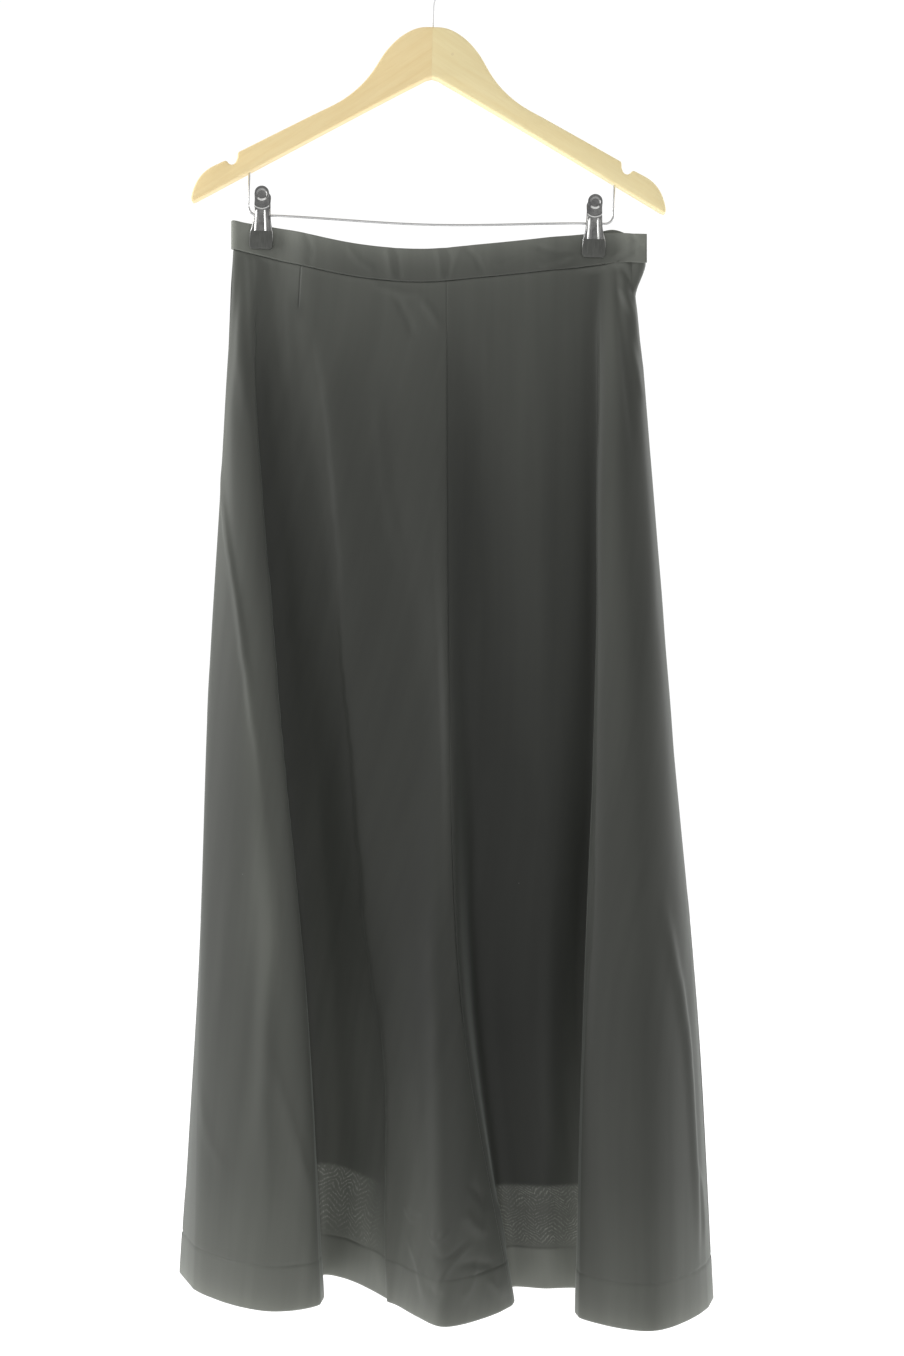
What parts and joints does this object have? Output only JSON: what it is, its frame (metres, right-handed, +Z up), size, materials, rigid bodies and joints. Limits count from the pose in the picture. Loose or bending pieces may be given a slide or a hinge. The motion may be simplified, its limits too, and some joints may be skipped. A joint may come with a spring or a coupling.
{
  "type": "skirt on a clip hanger",
  "caption": "Ankle-length A-line skirt with a narrow waistband, hung in soft folds by spring clips on the wire bar of a wooden hanger with a hook.",
  "frame": {"origin": "inner top of the hook's loop, where a rail carries the hanger", "axes": "+Z up, the skirt hangs down along -Z; -Y is the front of the skirt; +X is to the right of someone facing the front"},
  "size_m": [0.4991, 0.2636, 1.2635],
  "materials": {
    "cloth": "smooth crepe with a soft sheen, near black with a grey-green cast",
    "wood": "pale clear-lacquered wood",
    "steel": "bright plated steel",
    "jaw_coating": "dark soft dip coating"
  },
  "bodies": {
    "root": {"front_left": "cloth", "front_right": "cloth", "back": "cloth", "waistband_front": "cloth", "waistband_back": "cloth", "hanger_left_half": "wood", "hanger_right_half": "wood", "hook": "steel", "clip_bar": "steel", "clip_left_front_plate": "steel", "clip_left_back_plate": "steel", "clip_left_spring": "steel", "clip_left_front_cover": "jaw_coating", "clip_left_back_cover": "jaw_coating", "clip_right_front_plate": "steel", "clip_right_back_plate": "steel", "clip_right_spring": "steel", "clip_right_front_cover": "jaw_coating", "clip_right_back_cover": "jaw_coating"}
  },
  "joints": []
}
